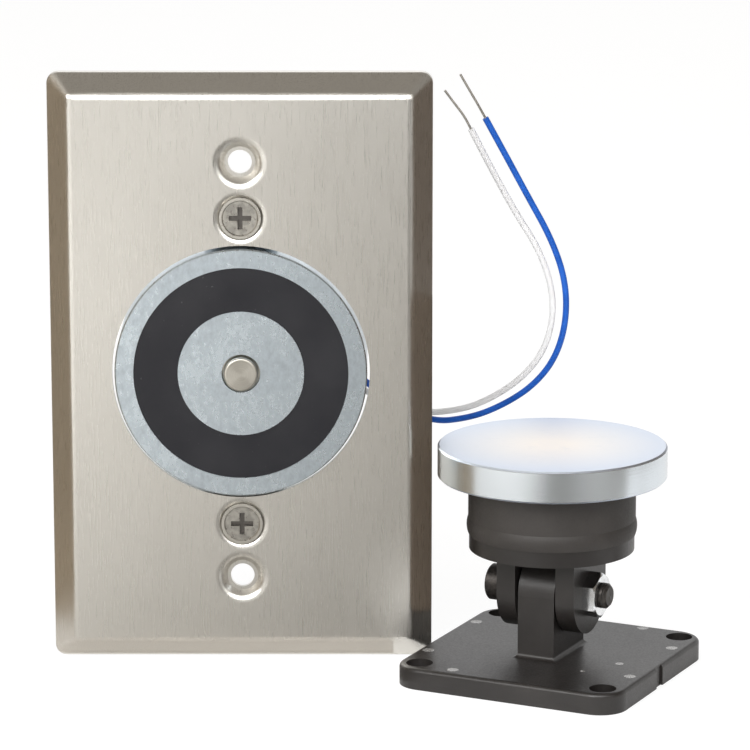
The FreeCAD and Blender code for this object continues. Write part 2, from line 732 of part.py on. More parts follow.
def core_nut():
    """Hexagon nut that clamps core, cup and bracket together."""
    body = new_body("core_nut")
    extruded(body, "hexagon", "XZ_Plane", hexagon(S.core_nut_flats, upright=True), S.core_nut_height,
             at=-NUT_FRONT_Y - S.core_nut_height)
    drilled(body, "thread", "XZ_Plane", S.spigot_radius + S.still_gap,
            S.core_nut_height + 2 * CUT_PAST, at=-NUT_FRONT_Y - S.core_nut_height - CUT_PAST)
    return body


def lock_washer():
    """Split washer between the bracket and the core nut."""
    body = new_body("lock_washer")
    inside = S.spigot_radius + S.still_gap
    turned(body, "ring", "XY_Plane", [
        (inside, WEB_BACK_Y), (S.washer_radius, WEB_BACK_Y), (S.washer_radius, NUT_FRONT_Y),
        (inside, NUT_FRONT_Y)])
    half = S.washer_split / 2
    past = S.washer_radius + CUT_PAST
    extruded(body, "split", "XZ_Plane", [(-half, 0.0), (half, 0.0), (half, past), (-half, past)],
             S.washer_gauge + 2 * CUT_PAST, at=-NUT_FRONT_Y - CUT_PAST, cutting=True, backwards=True)
    return body


def grommet_neck():
    return S.lead_spacing / 2 + S.lead_radius + S.grommet_wall


def lead_grommet():
    """Rubber grommet in the cup's back, with a hole for each lead."""
    body = new_body("lead_grommet")
    neck = grommet_neck()
    flange = S.coil_room / 2 - S.grommet_margin
    front = CUP_INSIDE_Y - S.still_gap
    back = CUP_BACK_Y + S.still_gap
    turned(body, "grommet", "XY_Plane", [
        (0.0, front - S.grommet_flange), (flange, front - S.grommet_flange), (flange, front),
        (neck, front), (neck, back), (flange, back), (flange, back + S.grommet_flange),
        (0.0, back + S.grommet_flange)])
    depth = back - front + 2 * S.grommet_flange + 2 * CUT_PAST
    for name, side in (("white_hole", -1), ("blue_hole", 1)):
        drilled(body, name, "XZ_Plane", S.lead_radius + S.still_gap, depth,
                x=side * S.lead_spacing / 2, at=-back - S.grommet_flange - CUT_PAST)
    bind(body, "Placement.Base.x", GROMMET_X)
    return body


def route_wire(name, points):
    """Straight runs joined by tangent arcs along a cord's route."""
    places = [Vector(*p) for p in points]
    edges = []
    radii = []
    start = places[0]
    for before, corner, after in zip(places, places[1:], places[2:]):
        into = (corner - before).normalize()
        out = (after - corner).normalize()
        turn = into.getAngle(out)
        length = ARC_SHARE * min((corner - before).Length, (after - corner).Length)
        radii.append(length / math.tan(turn / 2))
        first = corner - into * length
        last = corner + out * length
        inward = (out - into).normalize()
        centre = corner + inward * (radii[-1] / math.cos(turn / 2))
        middle = centre - inward * radii[-1]
        edges.append(Part.LineSegment(start, first).toShape())
        edges.append(Part.Arc(first, middle, last).toShape())
        start = last
    edges.append(Part.LineSegment(start, places[-1]).toShape())
    print(name, "arc radii:", [round(r, 1) for r in radii])
    return Part.Wire(edges)


def tube(name, points, radius):
    """A cord's solid: its round section carried along its route."""
    wire = route_wire(name, points)
    heading = Vector(*points[1]) - Vector(*points[0])
    section = Part.Wire([Part.Circle(Vector(*points[0]), heading, radius.value).toShape()])
    shape = wire.makePipeShell([section], True, False)
    expected = math.pi * radius.value**2 * wire.Length
    print(name, f"length {wire.Length:.1f} mm, volume {shape.Volume:.2f} of {expected:.2f}")
    if abs(shape.Volume / expected - 1) > 0.01:
        raise RuntimeError(f"{name}: the tube's volume is off")
    made = doc.addObject("Part::Feature", name)
    made.Shape = shape
    made.Placement = FreeCAD.Placement()
    return made


def lead(name, side, route):
    """An insulated lead, from inside the grommet along its route."""
    x = GROMMET_X + side * S.lead_spacing / 2
    start = (x.value, CUP_BACK_Y.value, 0.0)
    return tube(name, [start] + route, S.lead_radius)


def place_in_unit(body):
    """Sets a piece of the armature unit where the unit stands, turned about the upright axis."""
    body.Placement = FreeCAD.Placement(Vector(), FreeCAD.Rotation(Vector(0, 0, -1), S.unit_turn.value))
    bind(body, "Placement.Rotation.Angle", S.unit_turn)
    bind(body, "Placement.Base.x", UNIT_X)
    bind(body, "Placement.Base.y", UNIT_Y)
    bind(body, "Placement.Base.z", UNIT_Z)
    return body


def arch(half_depth, low):
    """A straight-sided shape from the level low up to a full round about the pivot."""
    return [(-half_depth, low), (half_depth, low), (half_depth, PIVOT_Z, "arc", half_depth),
            (0.0, PIVOT_Z + half_depth, "arc", half_depth), (-half_depth, PIVOT_Z)]


def base_plate():
    """Square moulded base with a corner hole each way and the pivot post, in one piece."""
    body = new_body("base_plate")
    extruded(body, "slab", "XY_Plane", rectangle(S.base_side, S.base_side, S.base_corner),
             S.base_thickness)
    softened(body, "top_edge", "Fillet", "Radius", S.base_edge,
             lambda edge: lies_at(edge, "Z", S.base_thickness))
    half = S.post_depth / 2
    extruded(body, "post", "YZ_Plane", arch(half, S.base_thickness / 2), S.post_width,
             sides="Symmetric")
    softened(body, "foot", "Fillet", "Radius", S.post_foot,
             lambda edge: lies_at(edge, "Z", S.base_thickness) and near_post(edge))
    drilled(body, "pivot_bore", "YZ_Plane", S.pivot_radius + S.running_gap,
            S.post_width + 2 * CUT_PAST, y=PIVOT_Z, at=-S.post_width / 2 - CUT_PAST)
    reach = S.base_side / 2 - S.door_hole_inset
    for i, (sx, sy) in enumerate(((-1, -1), (1, -1), (1, 1), (-1, 1)), start=1):
        drilled(body, f"door_hole_{i}", "XY_Plane", S.door_hole_radius,
                S.base_thickness + 2 * CUT_PAST, x=sx * reach, y=sy * reach, at=-CUT_PAST)
    edge = S.base_side / 2
    front = -S.gate_front - S.gate_width / 2
    back = front + S.gate_width
    extruded(body, "gate", "XY_Plane", [
        (edge - S.gate_depth, front), (edge + CUT_PAST, front), (edge + CUT_PAST, back),
        (edge - S.gate_depth, back)], S.base_thickness + 2 * CUT_PAST, at=-CUT_PAST, cutting=True,
        backwards=True)
    return place_in_unit(body)


def near_post(edge):
    """True for an edge inside the square round the post's foot."""
    box = edge.BoundBox
    reach = S.post_depth.value / 2 + 1e-3
    return max(abs(box.XMin), abs(box.XMax), abs(box.YMin), abs(box.YMax)) <= reach


def clevis():
    """Round flange with two ears that straddle the post, in one piece."""
    body = new_body("clevis")
    top = COLLAR_Z
    radius = S.collar_radius - S.flange_inset
    countersink = S.disc_screw_head - S.disc_screw_radius
    hole = S.disc_screw_radius + S.still_gap
    turned(body, "flange", "XZ_Plane", [
        (0.0, FLANGE_Z), (radius, FLANGE_Z), (radius, top), (0.0, top)])
    reach = S.ear_radius
    ears = [(-reach, FLANGE_Z + S.flange_thickness / 2), (-reach, PIVOT_Z, "arc", reach),
            (0.0, PIVOT_Z - reach, "arc", reach), (reach, PIVOT_Z),
            (reach, FLANGE_Z + S.flange_thickness / 2)]
    extruded(body, "ears", "YZ_Plane", ears, 2 * EAR_OUTER_X, sides="Symmetric")
    inner = EAR_INNER_X
    low = PIVOT_Z - reach - CUT_PAST
    slot = [(-inner, low), (inner, low), (inner, FLANGE_Z), (-inner, FLANGE_Z)]
    extruded(body, "slot", "XZ_Plane", slot, 2 * reach + 2 * CUT_PAST, cutting=True,
             sides="Symmetric")
    drilled(body, "pivot_holes", "YZ_Plane", S.pivot_radius + S.still_gap,
            2 * EAR_OUTER_X + 2 * CUT_PAST, y=PIVOT_Z, at=-EAR_OUTER_X - CUT_PAST)
    turned(body, "screw_hole", "XZ_Plane", [
        (0.0, FLANGE_Z - CUT_PAST), (S.disc_screw_head + S.still_gap, FLANGE_Z - CUT_PAST),
        (S.disc_screw_head + S.still_gap, FLANGE_Z), (hole, FLANGE_Z + countersink),
        (hole, top + CUT_PAST), (0.0, top + CUT_PAST)], cutting=True)
    return place_in_unit(body)


def cushion_collar():
    """Rubber collar under the disc, with a round bead at its foot."""
    body = new_body("cushion_collar")
    hole = S.sleeve_radius + S.still_gap
    side, out, tall = S.collar_radius, S.bead_proud, S.bead_height
    bead_radius = (tall * tall / 4 + out * out) / (2 * out)
    turned(body, "collar", "XZ_Plane", [
        (hole, COLLAR_Z), (side, COLLAR_Z, "arc", bead_radius), (side, COLLAR_Z + tall),
        (side, DISC_Z), (hole, DISC_Z)])
    return place_in_unit(body)


def collar_sleeve():
    """Steel sleeve that lets the screw be tightened without crushing the collar."""
    body = new_body("collar_sleeve")
    hole = S.disc_screw_radius + S.still_gap
    turned(body, "sleeve", "XZ_Plane", [
        (hole, COLLAR_Z), (S.sleeve_radius, COLLAR_Z), (S.sleeve_radius, DISC_Z), (hole, DISC_Z)])
    return place_in_unit(body)


def armature_disc():
    """Plated steel disc that the magnet pulls on, with a blind hole for its screw."""
    body = new_body("armature_disc")
    top = DISC_Z + S.disc_thickness
    edge = S.disc_edge
    hole = S.disc_screw_radius + S.still_gap
    hole_top = DISC_Z + S.disc_screw_reach + S.still_gap
    turned(body, "disc", "XZ_Plane", [
        (hole, DISC_Z), (S.disc_radius - edge, DISC_Z), (S.disc_radius, DISC_Z + edge),
        (S.disc_radius, top - edge), (S.disc_radius - edge, top), (0.0, top), (0.0, hole_top),
        (hole, hole_top)])
    return place_in_unit(body)


def disc_screw():
    """Countersunk screw from below the flange up into the disc."""
    body = new_body("disc_screw")
    head, shank = S.disc_screw_head, S.disc_screw_radius
    end = DISC_Z + S.disc_screw_reach
    turned(body, "screw", "XZ_Plane", [
        (0.0, FLANGE_Z), (head, FLANGE_Z), (shank, FLANGE_Z + (head - shank)), (shank, end),
        (0.0, end)])
    extruded(body, "socket", "XY_Plane", hexagon(S.disc_screw_flats, upright=False),
             S.disc_screw_socket + CUT_PAST, at=FLANGE_Z - CUT_PAST, cutting=True, backwards=True)
    return place_in_unit(body)


def pivot_bolt():
    """Cap screw through both ears and the post, with its head on the left."""
    body = new_body("pivot_bolt")
    seat = -EAR_OUTER_X
    head_end = seat - S.bolt_head_length
    end = EAR_OUTER_X + S.nut_height + S.bolt_end
    chamfer = S.bolt_chamfer
    shank = S.pivot_radius
    head_edge = S.bolt_head_edge
    points = [
        (0.0, head_end), (S.bolt_head_radius - head_edge, head_end),
        (S.bolt_head_radius, head_end + head_edge), (S.bolt_head_radius, seat), (shank, seat),
        (shank, end - chamfer), (shank - chamfer, end), (0.0, end)]
    turned_on_pivot(body, "bolt", points)
    extruded(body, "socket", "YZ_Plane", at_pivot(hexagon(S.bolt_socket_flats, upright=True)),
             S.bolt_socket_depth + CUT_PAST, at=head_end - CUT_PAST, cutting=True, backwards=True)
    return place_in_unit(body)


def turned_on_pivot(body, name, points):
    """A profile of (radius, place along the pivot) points turned about the pivot."""
    sketch = outline(body, name + "_outline", "XZ_Plane", [(x, r) for r, x in points])
    bind(sketch, "AttachmentOffset.Base.y", PIVOT_Z)
    made = body.newObject("PartDesign::Revolution", name)
    made.Profile = sketch
    made.ReferenceAxis = (sketch, ["H_Axis"])
    made.Angle = 360
    return settle(body, made, False)


def at_pivot(points):
    """Moves an outline's middle up to the pivot."""
    return [(x, y + PIVOT_Z) for x, y in points]


def pivot_nut():
    """Thin hexagon nut on the right ear, chamfered on its outer face."""
    body = new_body("pivot_nut")
    flats = at_pivot(hexagon(S.nut_flats, upright=True))
    extruded(body, "hexagon", "YZ_Plane", flats, S.nut_height, at=EAR_OUTER_X)
    end = EAR_OUTER_X + S.nut_height
    corner = S.nut_flats / math.sqrt(3)
    slope = corner - S.nut_flats / 2
    past = corner + CUT_PAST
    sketch = outline(body, "corners_outline", "XZ_Plane", [
        (end - slope * NUT_SLOPE, corner), (end, corner - slope), (end + CUT_PAST, corner - slope),
        (end + CUT_PAST, past), (end - slope * NUT_SLOPE, past)])
    bind(sketch, "AttachmentOffset.Base.y", PIVOT_Z)
    made = body.newObject("PartDesign::Groove", "corners")
    made.Profile = sketch
    made.ReferenceAxis = (sketch, ["H_Axis"])
    made.Angle = 360
    settle(body, made, True)
    drilled(body, "thread", "YZ_Plane", S.pivot_radius + S.still_gap, S.nut_height + 2 * CUT_PAST,
            y=PIVOT_Z, at=EAR_OUTER_X - CUT_PAST)
    return place_in_unit(body)


def build():
    """Makes every piece and returns them by name."""
    pieces = [
        wall_plate(), magnet_housing(), pole_core(), coil_bobbin(), coil_winding(), face_potting(),
        release_plunger(), plunger_spring(), plunger_retainer(), mounting_bracket(),
        bracket_screws(), core_nut(), lock_washer(), lead_grommet(),
        lead("lead_blue", 1, BLUE_ROUTE),
        lead("lead_white", -1, WHITE_ROUTE),
        tube("lead_blue_end", BLUE_END_ROUTE, S.conductor_radius),
        tube("lead_white_end", WHITE_END_ROUTE, S.conductor_radius),
        base_plate(), clevis(), cushion_collar(), collar_sleeve(), armature_disc(), disc_screw(),
        pivot_bolt(), pivot_nut(),
    ]
    doc.recompute()
    return {piece.Label: piece for piece in pieces}


def check(pieces):
    """Stops if any object failed or any piece has no sound shape."""
    for thing in doc.Objects:
        if {"Invalid", "Error"} & set(thing.State):
            raise RuntimeError(f"{thing.Name} is {thing.State}")
    for name, piece in pieces.items():
        if piece.Shape.isNull() or not piece.Shape.isValid():
            raise RuntimeError(f"{name} has no valid shape")


def export(pieces):
    os.makedirs("parts", exist_ok=True)
    for name, piece in pieces.items():
        piece.Shape.exportStep(f"parts/{name}.step")
        print(f"{name}: {len(piece.Shape.Solids)} solid, {piece.Shape.Volume:.1f} mm3")


PIECES = build()
check(PIECES)
export(PIECES)
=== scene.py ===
"""Looks of the electromagnetic door holder: camera, leads, small details, finishes and light."""

import json
import math

import bmesh
import bpy
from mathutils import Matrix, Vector


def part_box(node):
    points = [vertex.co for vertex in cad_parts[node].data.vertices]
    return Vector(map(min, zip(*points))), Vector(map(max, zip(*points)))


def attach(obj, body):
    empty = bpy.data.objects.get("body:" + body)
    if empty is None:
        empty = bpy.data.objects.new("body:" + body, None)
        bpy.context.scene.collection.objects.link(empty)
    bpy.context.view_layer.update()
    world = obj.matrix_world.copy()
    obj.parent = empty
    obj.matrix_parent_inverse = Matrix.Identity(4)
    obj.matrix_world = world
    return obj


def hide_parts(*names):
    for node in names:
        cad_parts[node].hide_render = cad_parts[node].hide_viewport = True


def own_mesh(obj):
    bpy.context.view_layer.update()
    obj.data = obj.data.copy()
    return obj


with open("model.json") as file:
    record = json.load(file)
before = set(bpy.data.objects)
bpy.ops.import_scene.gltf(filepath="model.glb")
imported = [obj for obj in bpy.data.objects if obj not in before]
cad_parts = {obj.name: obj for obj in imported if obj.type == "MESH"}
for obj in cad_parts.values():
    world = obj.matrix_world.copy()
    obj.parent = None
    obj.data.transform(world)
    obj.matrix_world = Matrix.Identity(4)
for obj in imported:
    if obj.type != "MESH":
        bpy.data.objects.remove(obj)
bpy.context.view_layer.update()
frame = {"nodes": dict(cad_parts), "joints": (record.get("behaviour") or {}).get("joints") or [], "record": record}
nodes = frame["nodes"]
joints = {joint["name"]: joint for joint in frame["joints"]}
mounts = {mount["name"]: mount for mount in frame["record"]["mounts"]}
scene = bpy.context.scene

MM = 0.001
FULL_TURN = 2 * math.pi
X_AXIS, Y_AXIS, Z_AXIS = range(3)
WHITE = (1.0, 1.0, 1.0)

# Shader sockets that only some finishes set
SHADER_SOCKETS = {"anisotropic": "Anisotropic", "specular": "Specular IOR Level"}

# Sockets of the Mix node while it mixes colours
MIX_FACTOR, MIX_FIRST, MIX_SECOND, MIX_RESULT = 0, 6, 7, 2

# Camera, in front of the plate and a little above it
CAMERA_TARGET = Vector((0.0263, 0.0, -0.0009))
CAMERA_DISTANCE = 0.85
CAMERA_ELEVATION = math.radians(13.0)
CAMERA_LENS = 207.4
CAMERA_SENSOR = 36.0
CAMERA_CLIP = (0.01, 50.0)

# Wall unit, with the stretches along Y over which painted shade darkens the hollow and cross recess of its plate
# screws' heads
PLATE_SCREW_Z = 0.03075
PLATE_SCREW_PITCH = 0.0007
PLATE_SCREW_DISH_SHADE = (-0.0017, -0.0014)
PLATE_SCREW_RECESS_SHADE = (-0.00145, -0.0011)
WINDING_PITCH = 0.00025

# Armature unit, placed and turned as its door mount and its pivot say, with the height of its base,
# the thread on its bolt, the radius of its disc's face and the radii over which the painted sheen on that face
# fades
UNIT = mounts["door_face"]["pos_m"]
FLOOR_Z = UNIT[Z_AXIS]
PIVOT = joints["armature_pivot"]["pos_m"]
PIVOT_LINE = joints["armature_pivot"]["axis"]
UNIT_TURN = math.atan2(-PIVOT_LINE[Y_AXIS], PIVOT_LINE[X_AXIS])
BASE_TOP = 0.0042
PIVOT_PITCH = 0.0008
PIVOT_THREAD_START = 0.011
DISC_FACE_RADIUS = 0.02245
DISC_SHEEN_RADII = (0.003, 0.021)

# Leads: size of their insulation, and their routes' control points in millimetres, as in the solids
LEAD_DIAMETER = 1.3 * MM
BLUE_ROUTE = [
    (18.05, 33.3, 0.0),
    (18.05, 42.0, 0.0),
    (19.6, 47.6, -8.0),
    (26.6, 46.9, -15.6),
    (37.4, 41.8, -20.6),
    (46.2, 38.9, -18.9),
    (52.8, 37.8, -15.9),
    (58.8, 36.9, -11.7),
    (63.2, 36.0, -5.9),
    (65.4, 35.0, 1.9),
    (65.2, 33.8, 10.8),
    (62.2, 32.6, 19.8),
    (57.0, 31.6, 29.3),
    (52.6, 30.8, 37.6),
    (48.5, 30.0, 45.2),
]
WHITE_ROUTE = [
    (15.45, 33.3, 0.0),
    (15.45, 41.5, 0.0),
    (16.6, 47.4, -8.6),
    (23.6, 45.4, -14.8),
    (35.0, 40.2, -18.4),
    (44.6, 37.2, -16.8),
    (51.2, 36.1, -13.6),
    (56.9, 35.2, -9.2),
    (60.9, 34.4, -3.7),
    (62.7, 33.5, 3.3),
    (62.2, 32.4, 10.6),
    (59.3, 31.5, 18.5),
    (54.8, 30.7, 25.6),
    (49.9, 30.2, 34.6),
    (45.6, 30.0, 43.0),
]

# The plunger's spring
SPRING_WIRE_RADIUS = 0.35 * MM
SPRING_TURNS = 9
SPRING_STEPS = 36
SPRING_SIDES = 12

# Ejector marks on the base's top, in millimetres from its middle: x, y, radius
EJECTOR_MARKS = [
    (-21.6, -10.9, 1.15),
    (-21.4, 11.4, 1.2),
    (10.6, 21.9, 1.15),
    (21.1, 11.5, 1.15),
    (21.1, -9.9, 1.15),
    (-11.6, -20.9, 1.15),
    (16.0, -3.0, 0.85),
    (11.4, -10.7, 0.45),
]

# Section of a mark from its rim inwards: share of its radius, height above the base
MARK_SECTION = [(1.0, 0.0), (0.9, 0.00005), (0.8, 0.00002)]
MARK_SIDES = 32

# Floor and cards
FLOOR_SIZE = 8.0
FLOOR_DROP = 0.00005
FLOOR_GLOW = 1.13
FLOOR_GLOW_SEEN = 0.72
FLOOR_GLOW_MIRRORED = 0.3
CARD_LIFT = 0.0005
CARD_Z = FLOOR_Z + CARD_LIFT
CARD_TOP = 0.085
BROWN_FELT = (0.105, 0.082, 0.064)
FELT_PALER = 1.15

# Dark cards: name, axis that it faces, place on that axis, two opposite corners, colour
CARDS = [
    ("left_card", X_AXIS, -0.062, (-0.03, FLOOR_Z), (0.02, CARD_TOP), (0.33, 0.265, 0.19)),
    ("right_card", X_AXIS, 0.128, (-0.07, -0.024), (0.07, CARD_TOP), BROWN_FELT),
    ("edge_card", X_AXIS, 0.0386, (-0.01, -0.05), (0.01, 0.014), (0.128, 0.1, 0.078)),
    ("low_right_card", Z_AXIS, CARD_Z, (0.106, -0.012), (0.2, 0.012), BROWN_FELT),
    ("front_card", Y_AXIS, -0.3, (0.06, FLOOR_Z), (0.3, 0.01), (0.1, 0.095, 0.09)),
]

# Outline of the floor card, which leaves out the armature unit's place and all behind it
FLOOR_CARD_OUTLINE = [
    (-0.4, -0.9),
    (0.6, -0.9),
    (0.6, -0.06),
    (0.03, -0.06),
    (0.03, 0.02),
    (-0.4, 0.02),
]

# Where the floor card's tones change, along X or Y
DARKENS_X = (-0.042, 0.043)
PALES_X = (0.09, 0.17)
GREY_X = (-0.24, -0.06)
GREY_Y = (-0.28, -0.46)
UNDER_PLATE_Y = (-0.012, -0.006)

# Lamps: name, place, aim, size, power in watts
PART_MIDDLE = (0.03, 0.0, 0.0)
LAMPS = [
    ("key", (-0.5, -0.7, 0.45), PART_MIDDLE, (0.45, 0.45), 3.6),
    ("near", (-0.02, -0.38, 0.25), (0.0, 0.0, 0.03), (0.56, 0.24), 2.0),
    ("fill", (0.65, -0.7, 0.3), PART_MIDDLE, (0.4, 0.5), 0.55),
    ("back", (0.1, 0.7, 0.75), PART_MIDDLE, (0.5, 0.4), 0.8),
]


def add_object(name, data):
    """A new object of the scene."""
    piece = bpy.data.objects.new(name, data)
    scene.collection.objects.link(piece)
    return piece


def point_along(piece, direction):
    """Turns a camera or lamp to look along a direction."""
    piece.rotation_mode = "QUATERNION"
    piece.rotation_quaternion = direction.to_track_quat("-Z", "Y")


def make_camera():
    """A long lens, looking slightly down at the part."""
    data = bpy.data.cameras.new("Camera")
    data.lens = CAMERA_LENS
    data.sensor_width = CAMERA_SENSOR
    data.clip_start, data.clip_end = CAMERA_CLIP
    camera = add_object("Camera", data)
    back = Vector((0.0, -math.cos(CAMERA_ELEVATION), math.sin(CAMERA_ELEVATION)))
    camera.location = CAMERA_TARGET + back * CAMERA_DISTANCE
    point_along(camera, -back)
    scene.camera = camera


def rgba(color):
    """A colour with its alpha; another node's output stays as it is."""
    return (*color, 1.0) if isinstance(color, tuple) else color


class Nodes:
    """Short calls for the nodes of one tree."""

    def __init__(self, tree):
        self.tree = tree

    def add(self, kind, **props):
        node = self.tree.nodes.new(kind)
        for prop, setting in props.items():
            setattr(node, prop, setting)
        return node

    def link(self, source, target):
        self.tree.links.new(source, target)

    def set(self, node, socket, value):
        """Gives an input a number, a colour or another node's output."""
        target = node.inputs[socket]
        if isinstance(value, bpy.types.NodeSocket):
            self.link(value, target)
        else:
            target.default_value = value

    def math(self, operation, a, b=0.0, clamp=False):
        node = self.add("ShaderNodeMath", operation=operation, use_clamp=clamp)
        self.set(node, 0, a)
        self.set(node, 1, b)
        return node.outputs[0]

    def vector(self, operation, a, b):
        node = self.add("ShaderNodeVectorMath", operation=operation)
        self.set(node, 0, a)
        self.set(node, 1, b)
        return node.outputs["Vector"]

    def apart(self, where):
        """The three coordinates of a place."""
        node = self.add("ShaderNodeSeparateXYZ")
        self.set(node, 0, where)
        return list(node.outputs)

    def distance(self, across, upright):
        """How far a place lies from an axis, from its two coordinates across it."""
        squares = [self.math("MULTIPLY", side, side) for side in (across, upright)]
        return self.math("SQRT", self.math("ADD", *squares))

    def thread(self, across, upright, along, pitch):
        """Height of a screw thread, from two coordinates across the screw and the one along it."""
        angle = self.math("DIVIDE", self.math("ARCTAN2", upright, across), FULL_TURN)
        phase = self.math("ADD", self.math("DIVIDE", along, pitch), angle)
        return self.math("PINGPONG", phase, 0.5)

    def noise(self, where, scale=1.0, detail=3.0, roughness=0.5):
        node = self.add("ShaderNodeTexNoise")
        self.set(node, "Vector", where)
        self.set(node, "Scale", scale)
        self.set(node, "Detail", detail)
        self.set(node, "Roughness", roughness)
        return node.outputs["Fac"]

    def spread(self, value, source, result):
        """Maps one range of a value to another and holds it at both ends."""
        node = self.add("ShaderNodeMapRange")
        for socket, number in enumerate((value, *source, *result)):
            self.set(node, socket, number)
        return node.outputs[0]

    def mix(self, factor, first, second):
        node = self.add("ShaderNodeMix", data_type="RGBA")
        self.set(node, MIX_FACTOR, factor)
        self.set(node, MIX_FIRST, rgba(first))
        self.set(node, MIX_SECOND, rgba(second))
        return node.outputs[MIX_RESULT]

    def blend(self, value, source, first, second, most=1.0):
        """Goes from one colour towards another while a value runs through a range."""
        return self.mix(self.spread(value, source, (0.0, most)), first, second)


class Material(Nodes):
    """A Principled material with its textures in object coordinates."""

    def __init__(self, name, color, metallic, roughness, **sockets):
        self.material = bpy.data.materials.new(name)
        self.material.use_nodes = True
        super().__init__(self.material.node_tree)
        self.shader = self.tree.nodes["Principled BSDF"]
        self.set(self.shader, "Base Color", rgba(color))
        self.set(self.shader, "Metallic", metallic)
        self.set(self.shader, "Roughness", roughness)
        for socket, number in sockets.items():
            self.set(self.shader, SHADER_SOCKETS[socket], number)
        self.place = self.add("ShaderNodeTexCoord").outputs["Object"]

    def moved(self, location=(0, 0, 0), turn=0.0, scale=(1, 1, 1)):
        """Object coordinates about a point, turned about the upright and stretched."""
        shifted = self.vector("SUBTRACT", self.place, location)
        rotate = self.add("ShaderNodeVectorRotate", rotation_type="Z_AXIS")
        self.set(rotate, "Vector", shifted)
        self.set(rotate, "Angle", turn)
        return self.vector("MULTIPLY", rotate.outputs[0], scale)

    def turning_marks(self, radius, along, along_socket, scale):
        """Fine rings about an axis, from the distance to it and the coordinate along it."""
        ring = self.add("ShaderNodeCombineXYZ")
        self.set(ring, 0, self.math("MULTIPLY", radius, scale))
        self.set(ring, along_socket, self.math("MULTIPLY", along, scale))
        return self.noise(ring.outputs[0], detail=2.0)

    def bump(self, height, distance, strength, normal=None):
        node = self.add("ShaderNodeBump")
        self.set(node, "Height", height)
        self.set(node, "Distance", distance)
        self.set(node, "Strength", strength)
        if normal is not None:
            self.link(normal, node.inputs["Normal"])
        return node.outputs["Normal"]

    def finish(self, color, roughness=None, normal=None, tangent=None):
        """Links the textures that a finish has to the shader."""
        textures = {"Base Color": color, "Roughness": roughness, "Normal": normal,
                    "Tangent": tangent}
        for socket, output in textures.items():
            if output is not None:
                self.link(output, self.shader.inputs[socket])
        return self.material


# Finishes
def stainless():
    """Satin sheet with a fine upright grain and slow changes of tone."""
    m = Material("stainless", (0.70, 0.68, 0.635), metallic=1.0, roughness=0.3)
    grain = m.noise(m.moved(scale=(9000, 9000, 160)), detail=2.0)
    cloud = m.noise(m.place, scale=28.0)
    tone = m.blend(cloud, (0.35, 0.65), (0.71, 0.69, 0.645), (0.68, 0.66, 0.615))
    tone = m.blend(grain, (0.3, 0.7), tone, (0.54, 0.52, 0.48), most=0.06)
    rough = m.spread(grain, (0.25, 0.75), (0.25, 0.35))
    normal = m.bump(grain, distance=0.00001, strength=0.14)
    return m.finish(tone, rough, normal)


def zinc(name, color, dark):
    """Plated steel with the small cloudy spangle of the pole faces."""
    m = Material(name, color, metallic=1.0, roughness=0.32)
    broad = m.noise(m.place, scale=150.0, detail=4.0, roughness=0.6)
    fine = m.noise(m.moved(scale=(1, 1, 0.6)), scale=1300.0, roughness=0.6)
    patch = m.math("ADD", m.math("MULTIPLY", broad, 0.5), m.math("MULTIPLY", fine, 0.5))
    tone = m.blend(patch, (0.42, 0.66), color, dark, most=0.7)
    rough = m.spread(patch, (0.4, 0.65), (0.24, 0.38))
    normal = m.bump(fine, distance=0.00002, strength=0.35)
    return m.finish(tone, rough, normal)


def ground_zinc():
    """The armature disc: bright plating over fine turning marks, with a smoother rim, and a painted sheen on its
    face, bright and warm in the middle and bluish towards the edge.
    """
    m = Material("plated_disc", (0.88, 0.88, 0.90), metallic=1.0, roughness=0.36)
    x, y, z = m.apart(m.moved(UNIT))
    radius = m.distance(x, y)
    rim = m.math("GREATER_THAN", radius, DISC_FACE_RADIUS)
    marks = m.turning_marks(radius, z, Z_AXIS, scale=9000.0)
    scuff = m.noise(m.place, scale=500.0)
    # Painted sheen: the face is brighter and warmer in the middle, darker and bluish towards its edge
    tone = m.blend(radius, DISC_SHEEN_RADII, (0.90, 0.85, 0.79), (0.665, 0.715, 0.80))
    tone = m.blend(scuff, (0.55, 0.8), tone, (0.66, 0.69, 0.73), most=0.2)
    tone = m.mix(rim, tone, (0.76, 0.815, 0.86))
    smoother = m.math("MULTIPLY", rim, 0.24)
    rough = m.math("SUBTRACT", m.spread(marks, (0.3, 0.7), (0.42, 0.5)), smoother)
    normal = m.bump(marks, distance=0.000006, strength=0.35)
    return m.finish(tone, rough, normal)


def turned_nickel():
    """The release button, turned about the magnet's axis."""
    m = Material("turned_nickel", (0.60, 0.58, 0.52), metallic=1.0, roughness=0.3, anisotropic=0.75)
    x, y, z = m.apart(m.place)
    marks = m.turning_marks(m.distance(x, z), y, Y_AXIS, scale=7000.0)
    tone = m.blend(marks, (0.3, 0.7), (0.58, 0.56, 0.50), (0.45, 0.43, 0.385))
    normal = m.bump(marks, distance=0.00001, strength=0.4)
    tangent = m.add("ShaderNodeTangent", direction_type="RADIAL", axis="Y")
    return m.finish(tone, normal=normal, tangent=tangent.outputs[0])


